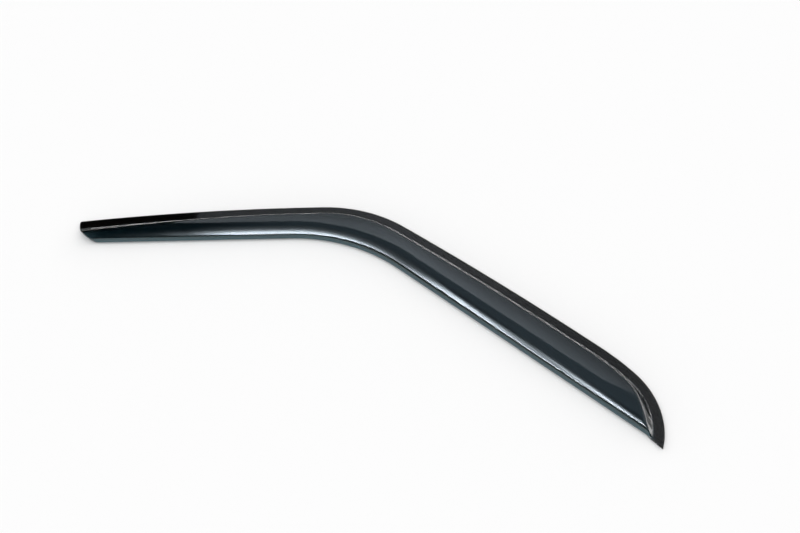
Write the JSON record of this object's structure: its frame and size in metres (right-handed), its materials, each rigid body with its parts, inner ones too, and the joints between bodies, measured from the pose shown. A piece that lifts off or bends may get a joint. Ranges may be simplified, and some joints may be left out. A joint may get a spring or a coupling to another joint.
{
  "type": "window rain deflector",
  "caption": "Stick-on side window rain deflector: a smoked acrylic sheet with a taped flange, a step and a crowned shell that rolls over to a free edge.",
  "frame": {"origin": "centre of the bounding box, at the adhesive face of the tape", "axes": "+X forward along the roof arm, +Y up the door, +Z away from the door"},
  "size_m": [0.8499, 0.4161, 0.0202],
  "materials": {
    "smoked_acrylic": "polished smoke tint, with a fine matt grain on the flange",
    "foam_tape": "matt closed-cell foam"
  },
  "bodies": {
    "root": {"visor": "smoked_acrylic", "mounting_tape": "foam_tape"}
  },
  "joints": []
}
